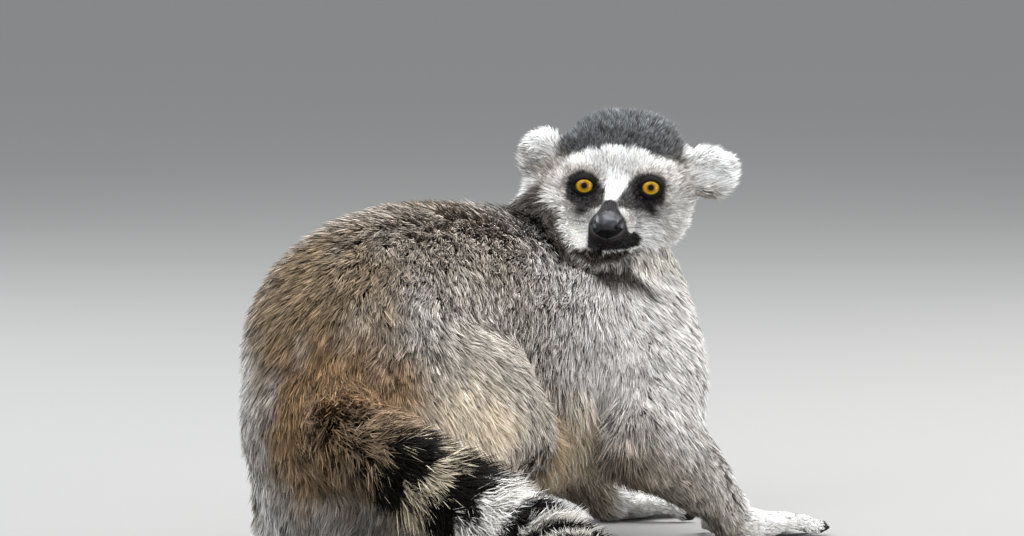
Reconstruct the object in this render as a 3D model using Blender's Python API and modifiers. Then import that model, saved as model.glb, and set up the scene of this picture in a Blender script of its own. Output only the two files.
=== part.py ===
"""Ring-tailed lemur (Lemur catta), adult, life size, in metres with +Z up.

It crouches on all fours, heading along +X with its left side at +Y, bends its
spine to the right and looks back over its right shoulder. The tail leaves the
rump, drops to the floor at the right rear and ends in a hook. The solids reach
out to the tips of the coat. The body is modelled whole, as lofts and egg shapes
fused by a voxel remesh, then divided into named parts by thin cuts. The origin
is on the floor under the middle of the hips.
"""

import math

import bmesh
import bpy
import numpy as np
from mathutils import Matrix, Vector

CM = 0.01

# Driving dimensions.
TAIL_LENGTH = 57 * CM
TAIL_HALF_WIDTH = 2.3 * CM
TAIL_PARTS = 6
EYE_RADIUS = 0.78 * CM
EYE_SPACING = 3.5 * CM
CUT = 0.00035  # width of the thin cuts between neighbouring parts
FORM_VOXEL = 0.005  # for the large forms, which are smoothed well
DETAIL_VOXEL = 0.0019  # for the whole with its head, hands and feet
WHOLE_TRIANGLES = 3100
FINE_REACH = 0.05  # round the face and the digits, where the triangles stay finer
RING = 24  # points around a loft

# Head: where the point between the eyes is, and how the face is turned.
FACE = Vector((18.2, -2.9, 19.2)) * CM
FACE_YAW = math.radians(-150)
FACE_PITCH = math.radians(3.5)
FACE_ROLL = math.radians(-1.7)
HEAD = (
    Matrix.Translation(FACE)
    @ Matrix.Rotation(FACE_YAW, 4, "Z")
    @ Matrix.Rotation(FACE_PITCH, 4, "Y")
    @ Matrix.Rotation(FACE_ROLL, 4, "X")
)

# Joints of the limbs, in centimetres; the first letter is the side.
JOINTS = {
    "R_hip": (-2.2, -3.4, 8.4),
    "R_knee": (7.6, -4.9, 7.0),
    "R_ankle": (-2.2, -5.9, 2.3),
    "R_toes": (6.6, -7.2, 0.6),
    "L_hip": (-2.4, 2.0, 8.4),
    "L_knee": (7.6, 5.0, 7.0),
    "L_ankle": (-2.2, 4.0, 2.3),
    "L_toes": (6.6, 5.8, 0.6),
    "R_shoulder": (20.2, -4.2, 11.6),
    "R_elbow": (15.5, -6.9, 5.9),
    "R_wrist": (22.0, -7.9, 1.6),
    "R_fingers": (27.0, -8.2, 0.6),
    "L_shoulder": (20.8, 3.9, 11.8),
    "L_elbow": (18.2, 6.2, 5.4),
    "L_wrist": (25.4, 3.4, 1.6),
    "L_fingers": (29.8, 2.4, 0.6),
}

# Centre line of the tail, in centimetres, from inside the rump to beyond its tip.
TAIL_ROUTE = (
    (-2.8, -0.7, 9.2),
    (-5.4, -2.0, 8.7),
    (-6.4, -4.8, 7.8),
    (-5.9, -8.0, 6.4),
    (-4.8, -11.0, 4.7),
    (-4.2, -14.2, 3.0),
    (-5.4, -17.4, 2.2),
    (-9.0, -21.0, 2.15),
    (-13.2, -24.0, 2.15),
    (-17.6, -27.0, 2.1),
    (-22.6, -28.6, 2.0),
    (-27.6, -27.0, 1.85),
    (-31.2, -23.0, 1.7),
    (-33.2, -18.0, 1.55),
    (-34.4, -13.0, 1.5),
)


def clear_scene():
    for obj in list(bpy.data.objects):
        bpy.data.objects.remove(obj)


def new_collection(name):
    collection = bpy.data.collections.new(name)
    bpy.context.scene.collection.children.link(collection)
    return collection


def material(name, colour, roughness):
    made = bpy.data.materials.new(name)
    made.use_nodes = True
    shader = made.node_tree.nodes["Principled BSDF"]
    shader.inputs["Base Color"].default_value = (*colour, 1)
    shader.inputs["Roughness"].default_value = roughness
    shader.inputs["Metallic"].default_value = 0
    return made


# ---------------------------------------------------------------- shapes


def spline(points, per_span):
    """Catmull-Rom samples through rows of numbers, which may hold radii too."""
    rows = np.array(points, float)
    rows = np.vstack([2 * rows[0] - rows[1], rows, 2 * rows[-1] - rows[-2]])
    samples = []
    for i in range(1, len(rows) - 2):
        a, b, c, d = rows[i - 1 : i + 3]
        for t in np.linspace(0, 1, per_span, endpoint=False):
            samples.append(
                0.5
                * (
                    2 * b
                    + (c - a) * t
                    + (2 * a - 5 * b + 4 * c - d) * t * t
                    + (3 * b - a - 3 * c + d) * t**3
                )
            )
    samples.append(rows[-2])
    return np.array(samples)


def rounded_ends(rows, angles):
    """Adds shrinking rings before the first and after the last, so the loft ends in domes."""
    before, after = [], []
    first, last = rows[0], rows[-1]
    back = first[:3] - rows[1][:3]
    ahead = last[:3] - rows[-2][:3]
    back /= np.linalg.norm(back)
    ahead /= np.linalg.norm(ahead)
    for angle in angles:
        reach, shrink = math.sin(math.radians(angle)), math.cos(math.radians(angle))
        for side, row, way in ((before, first, back), (after, last, ahead)):
            radii = row[3:]
            side.append([*(row[:3] + way * radii.mean() * reach), *(radii * shrink)])
    return np.vstack([*before[::-1], rows, *after])


def loft(stations, side, per_span=6, ring_points=RING, dome=(25, 50, 70, 84)):
    """A closed tube with elliptic rings. A station is x, y, z, half width, half height."""
    rows = rounded_ends(spline(stations, per_span), dome) * CM
    side = Vector(side).normalized()
    mesh = bmesh.new()
    rings = []
    for i, row in enumerate(rows):
        ahead = Vector(rows[min(i + 1, len(rows) - 1)][:3] - rows[max(i - 1, 0)][:3])
        ahead.normalize()
        across = (side - ahead * side.dot(ahead)).normalized()
        up = ahead.cross(across)
        ring = []
        for k in range(ring_points):
            turn = 2 * math.pi * k / ring_points
            offset = across * (row[3] * math.cos(turn)) + up * (row[4] * math.sin(turn))
            ring.append(mesh.verts.new(Vector(row[:3]) + offset))
        rings.append(ring)
    for a, b in zip(rings, rings[1:]):
        for k in range(ring_points):
            after = (k + 1) % ring_points
            mesh.faces.new((a[k], a[after], b[after], b[k]))
    mesh.faces.new(rings[0][::-1])
    mesh.faces.new(rings[-1])
    bmesh.ops.recalc_face_normals(mesh, faces=mesh.faces)
    return mesh


def egg(centre, radii, turn=None, detail=24):
    """An ellipsoid, in centimetres, turned about its centre by the matrix turn."""
    mesh = bmesh.new()
    bmesh.ops.create_uvsphere(mesh, u_segments=detail, v_segments=detail // 2, radius=1)
    place = Matrix.Translation(Vector(centre) * CM) @ (turn or Matrix())
    mesh.transform(place @ Matrix.Diagonal((*(r * CM for r in radii), 1)))
    return mesh


def to_object(mesh, name, collection):
    data = bpy.data.meshes.new(name)
    mesh.to_mesh(data)
    mesh.free()
    obj = bpy.data.objects.new(name, data)
    collection.objects.link(obj)
    return obj


def joined(meshes, transform=None):
    """Several closed shapes in one bmesh; a remesh fuses them later."""
    whole = bmesh.new()
    for mesh in meshes:
        if transform:
            mesh.transform(transform)
        data = bpy.data.meshes.new("shape")
        mesh.to_mesh(data)
        mesh.free()
        whole.from_mesh(data)
        bpy.data.meshes.remove(data)
    return whole


# ---------------------------------------------------------------- the body's forms

LATERAL = (0, 1, 0)
UPWARD = (0, 0, 1)


def trunk_shapes():
    spine = loft(
        (
            (-3.2, -0.6, 8.4, 4.4, 4.4),
            (-1.4, -0.1, 9.9, 5.9, 6.5),
            (1.4, 0.6, 11.0, 6.5, 7.6),
            (5.6, 1.1, 11.7, 6.2, 7.5),
            (10.4, 1.4, 11.6, 6.1, 7.3),
            (15.2, 1.0, 11.3, 5.8, 7.1),
            (18.8, 0.3, 11.5, 5.4, 6.4),
            (21.2, -0.3, 11.8, 4.4, 5.0),
        ),
        LATERAL,
    )
    neck = loft(
        (
            (17.6, 0.4, 12.6, 5.0, 4.8),
            (19.0, 0.0, 15.4, 5.0, 4.7),
            (19.9, -0.5, 17.4, 4.4, 4.0),
            (20.4, -0.8, 18.6, 3.4, 3.0),
        ),
        (0.6, -0.8, 0),
    )
    breast = egg((20.6, -0.5, 13.6), (4.3, 4.6, 4.6))
    rump = egg((-0.6, -0.2, 5.3), (5.4, 6.0, 5.7))
    return [spine, neck, breast, rump]


def leg_forms(side):
    """Thigh and folded shank."""
    sign = -1 if side == "R" else 1
    hip, knee, ankle = (Vector(JOINTS[f"{side}_{name}"]) for name in ("hip", "knee", "ankle"))
    middle = (hip + knee) / 2
    thigh = loft(
        (
            (hip.x - 0.4, hip.y, hip.z - 0.4, 3.0, 4.6),
            (hip.x + 2.4, hip.y + 0.4 * sign, hip.z + 0.3, 3.4, 5.6),
            (middle.x + 1.2, middle.y + 0.4 * sign, middle.z + 0.4, 3.3, 5.0),
            (knee.x - 1.2, knee.y + 0.1 * sign, knee.z + 0.2, 2.5, 3.3),
            (knee.x, knee.y, knee.z, 2.0, 2.4),
        ),
        LATERAL,
    )
    shank = loft(
        (
            (knee.x, knee.y, knee.z - 0.3, 1.8, 2.1),
            ((knee.x * 2 + ankle.x) / 3, knee.y, (knee.z * 2 + ankle.z) / 3, 2.1, 2.3),
            ((knee.x + ankle.x * 2) / 3, ankle.y, (knee.z + ankle.z * 2) / 3, 1.8, 1.9),
            (ankle.x, ankle.y, ankle.z, 1.5, 1.6),
        ),
        LATERAL,
    )
    return [thigh, shank]


def foot_shapes(side):
    """A long flat foot with four toes and a strong big toe that points inwards."""
    sign = -1 if side == "R" else 1
    ankle, toes = (Vector(JOINTS[f"{side}_{name}"]) for name in ("ankle", "toes"))
    ahead = (toes - ankle).normalized()
    out = Vector((0, sign, 0))
    heel = ankle - ahead * 0.7
    ball = ankle + ahead * 5.6
    sole = loft(
        (
            (heel.x, heel.y, 1.15, 1.15, 1.2),
            ((heel.x + ball.x) / 2, (heel.y + ball.y) / 2, 1.1, 1.2, 1.15),
            (ball.x, ball.y, 0.75, 1.55, 0.9),
        ),
        LATERAL,
    )
    digits = [
        toe(ball, ahead, out, spread, reach, 0.58)
        for spread, reach in ((-20, 3.4), (-7, 4.3), (5, 4.7), (17, 4.5))
    ]
    root = ankle + ahead * 3.4
    digits.append(toe(root, ahead, out, -42, 4.0, 0.7))
    return [sole, *digits]


def toe(root, ahead, out, spread, reach, radius):
    """A finger or toe that starts inside the sole and arches down to the floor."""
    angle = math.radians(spread)
    way = ahead * math.cos(angle) + out * math.sin(angle)
    way.z = 0
    way.normalize()
    side = out * (2.4 * math.sin(angle))
    points = []
    for t, height, width in ((0.0, 0.7, 1.0), (0.45, 0.9, 0.95), (0.8, 0.5, 0.95), (1.0, 0.34, 0.85)):
        spot = root + side + way * (reach * t)
        points.append((spot.x, spot.y, height, radius * width, radius * width))
    return loft(points, (-way.y, way.x, 0), per_span=3)


def arm_forms(side):
    """Upper arm and forearm."""
    sign = -1 if side == "R" else 1
    shoulder, elbow, wrist = (
        Vector(JOINTS[f"{side}_{name}"]) for name in ("shoulder", "elbow", "wrist")
    )
    middle = (shoulder + elbow) / 2
    upper = loft(
        (
            (shoulder.x - 0.2, shoulder.y - 0.6 * sign, shoulder.z + 0.6, 2.6, 4.0),
            (middle.x + 0.9, middle.y, middle.z + 0.4, 2.4, 3.7),
            (elbow.x + 0.9, elbow.y, elbow.z + 0.3, 2.1, 2.9),
        ),
        LATERAL,
    )
    half = (elbow + wrist) / 2
    fore = loft(
        (
            (elbow.x + 0.2, elbow.y, elbow.z, 2.1, 2.4),
            (half.x + 0.2, half.y, half.z + 0.4, 1.9, 2.3),
            (wrist.x, wrist.y, wrist.z, 1.3, 1.35),
        ),
        LATERAL,
    )
    return [upper, fore]


def hand_shapes(side):
    """The palm with four fingers and a thumb."""
    sign = -1 if side == "R" else 1
    wrist, fingers = (Vector(JOINTS[f"{side}_{name}"]) for name in ("wrist", "fingers"))
    ahead = (fingers - wrist).normalized()
    out = Vector((0, sign, 0))
    ball = wrist + ahead * 2.6
    palm = loft(
        (
            (wrist.x - 0.3, wrist.y, 1.05, 1.15, 1.2),
            (ball.x, ball.y, 0.7, 1.4, 0.85),
        ),
        LATERAL,
    )
    digits = [
        toe(ball, ahead, out, spread, reach, 0.54)
        for spread, reach in ((-22, 2.7), (-7, 3.5), (6, 3.8), (19, 3.5))
    ]
    digits.append(toe(wrist + ahead * 0.9, ahead, out, -48, 2.9, 0.56))
    return [palm, *digits]


def head_shapes():
    """Skull with its fur, cheeks, muzzle, jaw and the rims of the eyes, in the face's frame."""
    skull = egg((-3.5, 0, 0.75), (3.25, 3.3, 3.3))
    brow = egg((-1.9, 0, 0.9), (1.9, 2.9, 2.1))
    rims = [egg((-0.72, EYE_SPACING / CM / 2 * s, 0.05), (1.0, 1.2, 1.15)) for s in (-1, 1)]
    cheeks = [egg((-2.0, 2.0 * s, -0.9), (2.2, 1.9, 2.3)) for s in (-1, 1)]
    muzzle = loft(
        (
            (-2.0, 0, -0.6, 2.3, 2.1),
            (0.0, 0, -1.1, 1.7, 1.65),
            (1.4, 0, -1.6, 1.45, 1.2),
            (2.35, 0, -1.8, 1.1, 0.95),
        ),
        LATERAL,
    )
    jaw = loft(
        (
            (-2.6, 0, -2.0, 2.2, 1.5),
            (0.0, 0, -2.2, 1.4, 1.05),
            (1.5, 0, -2.4, 0.9, 0.7),
        ),
        LATERAL,
    )
    return joined([skull, brow, *rims, *cheeks, muzzle, jaw], HEAD)


EAR_HEIGHT = {-1: 1.15, 1: 0.75}  # of an ear's middle over the eyes, in centimetres


def ear_turn(sign):
    """The ear stands out sideways, a little back and up, its cup open to the front."""
    lean = Matrix.Rotation(math.radians((4 if sign > 0 else 12) * sign), 4, "X")
    sweep = Matrix.Rotation(math.radians(-18 * sign), 4, "Z")
    return sweep @ lean


def ear_shapes(sign):
    cup = egg((-2.7, 4.5 * sign, EAR_HEIGHT[sign]), (0.9, 1.55, 1.65), ear_turn(sign))
    root = egg((-2.9, 3.1 * sign, EAR_HEIGHT[sign] - 0.2), (0.9, 1.5, 1.25), ear_turn(sign))
    return joined([cup, root], HEAD)


def ear_hollow(sign):
    hollow = egg((-1.75, 4.75 * sign, EAR_HEIGHT[sign]), (1.0, 1.1, 1.25), ear_turn(sign), 12)
    return joined([hollow], HEAD)


def tail_rows():
    """Samples of the tail's centre line with its radius, ended at the tail's length."""
    points = spline(TAIL_ROUTE, 8) * CM
    steps = np.linalg.norm(np.diff(points, axis=0), axis=1)
    along = np.concatenate([[0], np.cumsum(steps)])
    inside = 2.4 * CM  # of the line lies in the rump, before the tail shows
    wanted = np.linspace(0, TAIL_LENGTH + inside, 60)
    line = np.column_stack([np.interp(wanted, along, points[:, i]) for i in range(3)])
    share = (wanted - inside).clip(0) / TAIL_LENGTH
    swell = 0.74 + 0.28 * np.sin(np.pi * share.clip(0, 1) ** 0.7)
    tip = np.sqrt(1 - (share.clip(0.9, 1) - 0.9) ** 2 / 0.0115)
    return np.column_stack([line, TAIL_HALF_WIDTH * swell * tip]), share


def tail_shape():
    rows, _ = tail_rows()
    stations = [(*row[:3] / CM, row[3] / CM, row[3] / CM) for row in rows]
    return loft(stations, UPWARD, per_span=1)


# ---------------------------------------------------------------- fusing and dividing


def evaluated_mesh(obj):
    graph = bpy.context.evaluated_depsgraph_get()
    return bpy.data.meshes.new_from_object(obj.evaluated_get(graph))


def fuse(obj, voxel, smoothing):
    """Makes one closed skin round all the shapes and smooths the creases between them."""
    remesh = obj.modifiers.new("fuse", "REMESH")
    remesh.mode = "VOXEL"
    remesh.voxel_size = voxel
    smooth = obj.modifiers.new("smooth", "SMOOTH")
    smooth.factor = 0.5
    smooth.iterations = smoothing
    obj.data = evaluated_mesh(obj)
    obj.modifiers.clear()


def thin_out(obj, triangles):
    """Fewer triangles, and finer ones round the face and the digits than on the body."""
    coarse = obj.vertex_groups.new(name="coarse")
    digits = [Vector(spot) * CM for name, spot in JOINTS.items() if name[2:] in ("toes", "fingers")]
    fine_spots = [FACE, *digits]
    for vert in obj.data.vertices:
        fine = any((vert.co - spot).length < FINE_REACH for spot in fine_spots)
        coarse.add([vert.index], 0.5 if fine else 1.0, "REPLACE")
    faces = sum(len(polygon.vertices) - 2 for polygon in obj.data.polygons)
    thin = obj.modifiers.new("thin", "DECIMATE")
    thin.vertex_group = coarse.name
    thin.vertex_group_factor = 3e-5
    thin.ratio = triangles / faces
    thin.use_collapse_triangulate = True
    obj.data = evaluated_mesh(obj)
    obj.modifiers.clear()


def trim_to_floor(obj):
    """Cuts off what reaches below the floor, which leaves small flats at one level."""
    mesh = bmesh.new()
    mesh.from_mesh(obj.data)
    everything = mesh.verts[:] + mesh.edges[:] + mesh.faces[:]
    bmesh.ops.bisect_plane(
        mesh, geom=everything, dist=1e-7, plane_co=(0, 0, 0), plane_no=(0, 0, -1), clear_outer=True
    )
    rim = [edge for edge in mesh.edges if edge.is_boundary]
    bmesh.ops.holes_fill(mesh, edges=rim)
    bmesh.ops.triangulate(mesh, faces=[f for f in mesh.faces if len(f.verts) > 3])
    bmesh.ops.recalc_face_normals(mesh, faces=mesh.faces)
    mesh.to_mesh(obj.data)
    mesh.free()


def boolean(obj, tool, operation):
    step = obj.modifiers.new(operation.lower(), "BOOLEAN")
    step.operation = operation
    step.solver = "EXACT"
    step.object = tool
    obj.data = evaluated_mesh(obj)
    obj.modifiers.clear()


def keep_largest_body(obj):
    """Drops the slivers that a cut can leave beside the part."""
    mesh = bmesh.new()
    mesh.from_mesh(obj.data)
    unseen = set(mesh.verts)
    bodies = []
    while unseen:
        body, front = set(), [unseen.pop()]
        while front:
            vert = front.pop()
            body.add(vert)
            near = {edge.other_vert(vert) for edge in vert.link_edges} & unseen
            unseen -= near
            front += near
        bodies.append(body)
    bodies.sort(key=len)
    for body in bodies[:-1]:
        bmesh.ops.delete(mesh, geom=list(body), context="VERTS")
    mesh.to_mesh(obj.data)
    mesh.free()


def carve(whole, tool_mesh, name, finish, collections):
    """Takes what lies inside the tool off the whole, as its own part, with a thin cut."""
    parts, cutters = collections
    tool = to_object(tool_mesh, "tool", cutters)
    part = whole.copy()
    part.data = whole.data.copy()
    parts.objects.link(part)
    boolean(part, tool, "INTERSECT")
    tool_mesh = bmesh.new()
    tool_mesh.from_mesh(tool.data)
    tool_mesh.normal_update()
    for vert in tool_mesh.verts:
        vert.co += vert.normal * CUT * 1.15  # a corner's normal is a little short of its faces
    tool_mesh.to_mesh(tool.data)
    tool_mesh.free()
    boolean(whole, tool, "DIFFERENCE")
    bpy.data.objects.remove(tool)
    keep_largest_body(part)
    keep_largest_body(whole)
    finish_part(part, name, finish)


def finish_part(part, name, finish):
    """Merges faces that lie in one plane, and gives the part its name and material."""
    mesh = bmesh.new()
    mesh.from_mesh(part.data)
    bmesh.ops.dissolve_limit(
        mesh, angle_limit=math.radians(2.5), use_dissolve_boundaries=False,
        verts=mesh.verts, edges=mesh.edges,
    )
    bmesh.ops.triangulate(mesh, faces=mesh.faces)
    mesh.to_mesh(part.data)
    mesh.free()
    part.name = name
    part.data.name = name
    part.data.materials.clear()
    part.data.materials.append(finish)


# ---------------------------------------------------------------- where the cuts run


def sleeve(stations, side=LATERAL, domed=True, transform=None):
    """A coarse loft round a part, which cuts it from its neighbours."""
    dome = (55,) if domed else ()
    tool = loft(stations, side, per_span=1, ring_points=10, dome=dome)
    if transform:
        tool.transform(transform)
    bmesh.ops.triangulate(tool, faces=tool.faces)
    return tool


def slab(corner, opposite):
    """A box between two corners, in centimetres."""
    mesh = bmesh.new()
    bmesh.ops.create_cube(mesh, size=1)
    low, high = Vector(corner) * CM, Vector(opposite) * CM
    mesh.transform(Matrix.Translation((low + high) / 2) @ Matrix.Diagonal((*(high - low), 1)))
    return mesh


def along(a, b, share):
    return a + (b - a) * share


def limb_sleeve(start, end, stations, domed=True):
    """A sleeve along a bone: each station is a share of the bone's length and two half sizes."""
    rows = [(*along(start, end, share), width, height) for share, width, height in stations]
    return sleeve(rows, domed=domed)


def head_sleeves():
    ears = {
        f"ear_{word}": joined(
            [egg((-2.8, 5.7 * sign, EAR_HEIGHT[sign]), (2.1, 2.45, 2.7), detail=12)], HEAD
        )
        for word, sign in (("right", -1), ("left", 1))
    }
    nose = joined([egg((3.05, 0, -1.7), (0.85, 1.1, 0.9), detail=10)], HEAD)
    head = sleeve(
        (
            (-6.8, 0, 1.1, 3.2, 3.2),
            (-4.8, 0, 0.9, 4.6, 4.2),
            (-2.4, 0, 0.5, 5.4, 4.8),
            (-0.6, 0, -0.2, 4.6, 4.2),
            (1.2, 0, -1.4, 2.8, 2.7),
            (3.2, 0, -1.8, 2.0, 2.0),
        ),
        transform=HEAD,
    )
    return {"nose": nose, **ears, "head": head}


def limb_sleeves(side, word):
    sign = -1 if side == "R" else 1
    hip, knee, ankle, toes, shoulder, elbow, wrist, fingers = (
        Vector(JOINTS[f"{side}_{name}"])
        for name in "hip knee ankle toes shoulder elbow wrist fingers".split()
    )
    low = Vector((0, 0, -0.4))
    return {
        f"hand_{word}": limb_sleeve(
            wrist + low, fingers + low, ((0.02, 2.2, 2.2), (0.4, 4.0, 2.4), (1.3, 4.6, 2.2)), False
        ),
        f"forearm_{word}": limb_sleeve(
            elbow, wrist, ((0.0, 2.45, 2.75), (0.5, 2.5, 2.9), (0.9, 2.2, 2.2), (1.1, 2.0, 2.0))
        ),
        f"upper_arm_{word}": limb_sleeve(
            shoulder, elbow, ((-0.02, 3.0, 4.5), (0.5, 3.0, 4.4), (1.0, 2.8, 3.6), (1.2, 2.2, 3.0))
        ),
        f"foot_{word}": limb_sleeve(
            ankle + 4 * low, toes + low,
            ((-0.25, 2.0, 1.75), (0.3, 2.2, 1.7), (0.6, 3.6, 1.7), (1.5, 4.2, 1.7)), False,
        ),
        f"shank_{word}": limb_sleeve(
            knee + 2 * low, ankle, ((0.0, 2.8, 2.0), (0.5, 3.0, 2.4), (1.1, 2.4, 2.4)), False
        ),
        f"thigh_{word}": egg(
            along(hip, knee, 0.5) + Vector((-0.2, 4.3 * sign, 0.5)), (8.3, 6.0, 6.4), detail=14
        ),
    }


def tail_sleeves():
    """One flat-ended sleeve for each length of the tail, from the tip back to the root."""
    rows, share = tail_rows()
    made = {}
    for number in range(TAIL_PARTS, 0, -1):
        start = (number - 1) / TAIL_PARTS if number > 1 else 0.015
        end = number / TAIL_PARTS + 0.03
        wanted = np.linspace(start, end, 8)
        line = np.column_stack([np.interp(wanted, share, rows[:, i]) for i in range(3)]) / CM
        if number == TAIL_PARTS:
            line[-1] = line[-2] * 2 - line[-3]
        stations = [(*point, 3.1, 3.1) for point in line]
        made[f"tail_{number}"] = sleeve(stations, UPWARD, domed=False)
    return made


def trunk_sleeves():
    return {
        "neck": sleeve(
            (
                (18.6, 0.2, 14.9, 6.2, 5.6),
                (19.4, -0.2, 17.0, 5.6, 5.2),
                (20.4, -0.8, 20.4, 5.0, 4.8),
                (21.0, -1.2, 24.0, 5.0, 4.8),
            ),
            (0.6, -0.8, 0),
            domed=False,
        ),
        "chest": slab((15.4, -14, -1), (32, 14, 26)),
        "belly": slab((6.4, -14, -1), (15.6, 14, 26)),
    }


def add_eyes(head, finish, parts):
    """Eyeballs in sockets that leave a thin gap round them."""
    for word, sign in (("right", -1), ("left", 1)):
        centre = HEAD @ (Vector((-0.15, EYE_SPACING / CM / 2 * sign, 0)) * CM)
        for radius, name in ((EYE_RADIUS + CUT, "socket"), (EYE_RADIUS, f"eye_{word}")):
            mesh = bmesh.new()
            bmesh.ops.create_uvsphere(mesh, u_segments=14, v_segments=8, radius=radius)
            mesh.transform(Matrix.Translation(centre))
            obj = to_object(mesh, name, parts)
            if name == "socket":
                boolean(head, obj, "DIFFERENCE")
                bpy.data.objects.remove(obj)
            else:
                finish_part(obj, name, finish)


def main():
    clear_scene()
    parts = new_collection("ring_tailed_lemur")
    cutters = new_collection("cutters")
    cutters.hide_render = True
    fur = material("grey_coat", (0.33, 0.29, 0.25), 0.9)
    pale = material("pale_coat", (0.72, 0.69, 0.64), 0.9)
    leather = material("black_leather", (0.02, 0.02, 0.022), 0.5)
    amber = material("amber_eye", (0.75, 0.33, 0.03), 0.1)
    ringed = material("ringed_coat", (0.3, 0.28, 0.26), 0.9)

    forms = [*trunk_shapes(), tail_shape()]
    details = [head_shapes()]
    for side in "RL":
        forms += leg_forms(side) + arm_forms(side)
        details += foot_shapes(side) + hand_shapes(side)
    details += [ear_shapes(sign) for sign in (-1, 1)]
    body = to_object(joined(forms), "body", parts)
    fuse(body, FORM_VOXEL, 12)
    fused_body = bmesh.new()
    fused_body.from_mesh(body.data)
    bpy.data.objects.remove(body)
    whole = to_object(joined([fused_body, *details]), "whole", parts)
    fuse(whole, DETAIL_VOXEL, 6)
    thin_out(whole, WHOLE_TRIANGLES)
    trim_to_floor(whole)
    for sign in (-1, 1):
        hollow = to_object(ear_hollow(sign), "hollow", cutters)
        boolean(whole, hollow, "DIFFERENCE")
        bpy.data.objects.remove(hollow)

    tools = {**head_sleeves(), **tail_sleeves()}
    for side, word in (("R", "right"), ("L", "left")):
        tools.update(limb_sleeves(side, word))
    tools.update(trunk_sleeves())
    finishes = {"nose": leather, "head": pale, "ear": pale, "tail": ringed}
    for name, tool in tools.items():
        finish = finishes.get(name.split("_")[0], fur)
        carve(whole, tool, name, finish, (parts, cutters))
    finish_part(whole, "rump", fur)
    add_eyes(parts.objects["head"], amber, parts)


main()
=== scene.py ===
"""The looks of a life-size ring-tailed lemur: studio, skin, coat, eyes, nails and whiskers.

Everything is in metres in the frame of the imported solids, +X the way the body heads
and +Z up. Sizes given in centimetres or millimetres are multiplied by CM or MM.
"""

import math

import bmesh
import bpy
import numpy as np
from mathutils import Matrix, Vector
from mathutils.bvhtree import BVHTree
from mathutils.kdtree import KDTree


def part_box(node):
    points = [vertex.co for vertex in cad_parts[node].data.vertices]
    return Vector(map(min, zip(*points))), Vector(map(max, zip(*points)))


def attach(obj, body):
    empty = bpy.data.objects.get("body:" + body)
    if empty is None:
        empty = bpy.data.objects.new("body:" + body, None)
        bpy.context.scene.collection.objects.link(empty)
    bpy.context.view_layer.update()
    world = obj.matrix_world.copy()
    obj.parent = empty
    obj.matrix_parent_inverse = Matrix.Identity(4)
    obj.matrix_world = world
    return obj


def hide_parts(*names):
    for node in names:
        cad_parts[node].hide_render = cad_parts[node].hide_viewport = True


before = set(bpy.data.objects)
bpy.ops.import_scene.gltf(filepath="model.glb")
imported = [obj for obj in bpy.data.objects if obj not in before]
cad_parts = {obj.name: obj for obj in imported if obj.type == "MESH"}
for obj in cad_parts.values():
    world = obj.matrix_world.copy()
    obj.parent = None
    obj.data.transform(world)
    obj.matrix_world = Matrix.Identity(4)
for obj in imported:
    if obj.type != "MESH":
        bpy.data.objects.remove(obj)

CM, MM = 0.01, 0.001
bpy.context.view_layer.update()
scene = bpy.context.scene


# ------------------------------------------------------------------ the studio
# A pale seamless floor, a large soft light overhead, one behind to each side that
# rims the coat, and a weak one in front. The camera looks over the animal's right
# hip at its face, from a little above.

VIEW_AZIMUTH, VIEW_HEIGHT = math.radians(-52), math.radians(5)
VIEW_DISTANCE, VIEW_WIDTH = 4.0, 0.539
AIM = Vector((0.0599, -0.0541, 0.1589))
backward = Vector(
    (
        math.sin(VIEW_AZIMUTH) * math.cos(VIEW_HEIGHT),
        -math.cos(VIEW_AZIMUTH) * math.cos(VIEW_HEIGHT),
        math.sin(VIEW_HEIGHT),
    )
)
rightward = Vector((math.cos(VIEW_AZIMUTH), math.sin(VIEW_AZIMUTH), 0))


def add_object(name, data):
    """A new object in the scene, unturned and at the origin."""
    made = bpy.data.objects.new(name, data)
    scene.collection.objects.link(made)
    return made


camera_data = bpy.data.cameras.new("camera")
camera_data.sensor_width = 36
camera_data.lens = camera_data.sensor_width * VIEW_DISTANCE / VIEW_WIDTH
camera_data.clip_end = 100
camera = add_object("camera", camera_data)
camera.location = AIM + backward * VIEW_DISTANCE
camera.rotation_euler = backward.to_track_quat("Z", "Y").to_euler()
scene.camera = camera
scene.view_settings.view_transform = "Standard"


def linear(*rgb):
    """A colour given in display values from 0 to 255, as the shaders want it."""
    share = np.array(rgb, float) / 255
    return np.where(share <= 0.04045, share / 12.92, ((share + 0.055) / 1.055) ** 2.4)


def set_inputs(node, **values):
    """Sets inputs of a node; an underscore stands for a space in an input's name."""
    for name, value in values.items():
        node.inputs[name.replace("_", " ")].default_value = value


def new_material(name):
    made = bpy.data.materials.new(name)
    made.use_nodes = True
    tree = made.node_tree
    return made, tree, tree.nodes["Principled BSDF"]


def plain_material(name, rgb, roughness):
    made, _, shader = new_material(name)
    set_inputs(shader, Base_Color=(*linear(*rgb), 1), Roughness=roughness)
    return made


def softbox(name, place, size, power, colour=(1, 1, 1)):
    """A square area light at a place, aimed at the animal."""
    data = bpy.data.lights.new(name, "AREA")
    data.size = size
    data.energy = power
    data.color = colour
    light = add_object(name, data)
    light.location = place
    light.rotation_euler = (Vector(place) - AIM).to_track_quat("Z", "Y").to_euler()


FLOOR_HALF = 30
FLOOR_DROP = 0.3 * MM
floor_corners = ((-1, -1), (1, -1), (1, 1), (-1, 1))
floor_corners = [(x * FLOOR_HALF, y * FLOOR_HALF, -FLOOR_DROP) for x, y in floor_corners]
floor_data = bpy.data.meshes.new("floor")
floor_data.from_pydata(floor_corners, [], [(0, 1, 2, 3)])
floor_data.materials.append(plain_material("pale_floor", (134, 133, 131), 0.9))
floor = add_object("floor", floor_data)

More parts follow.
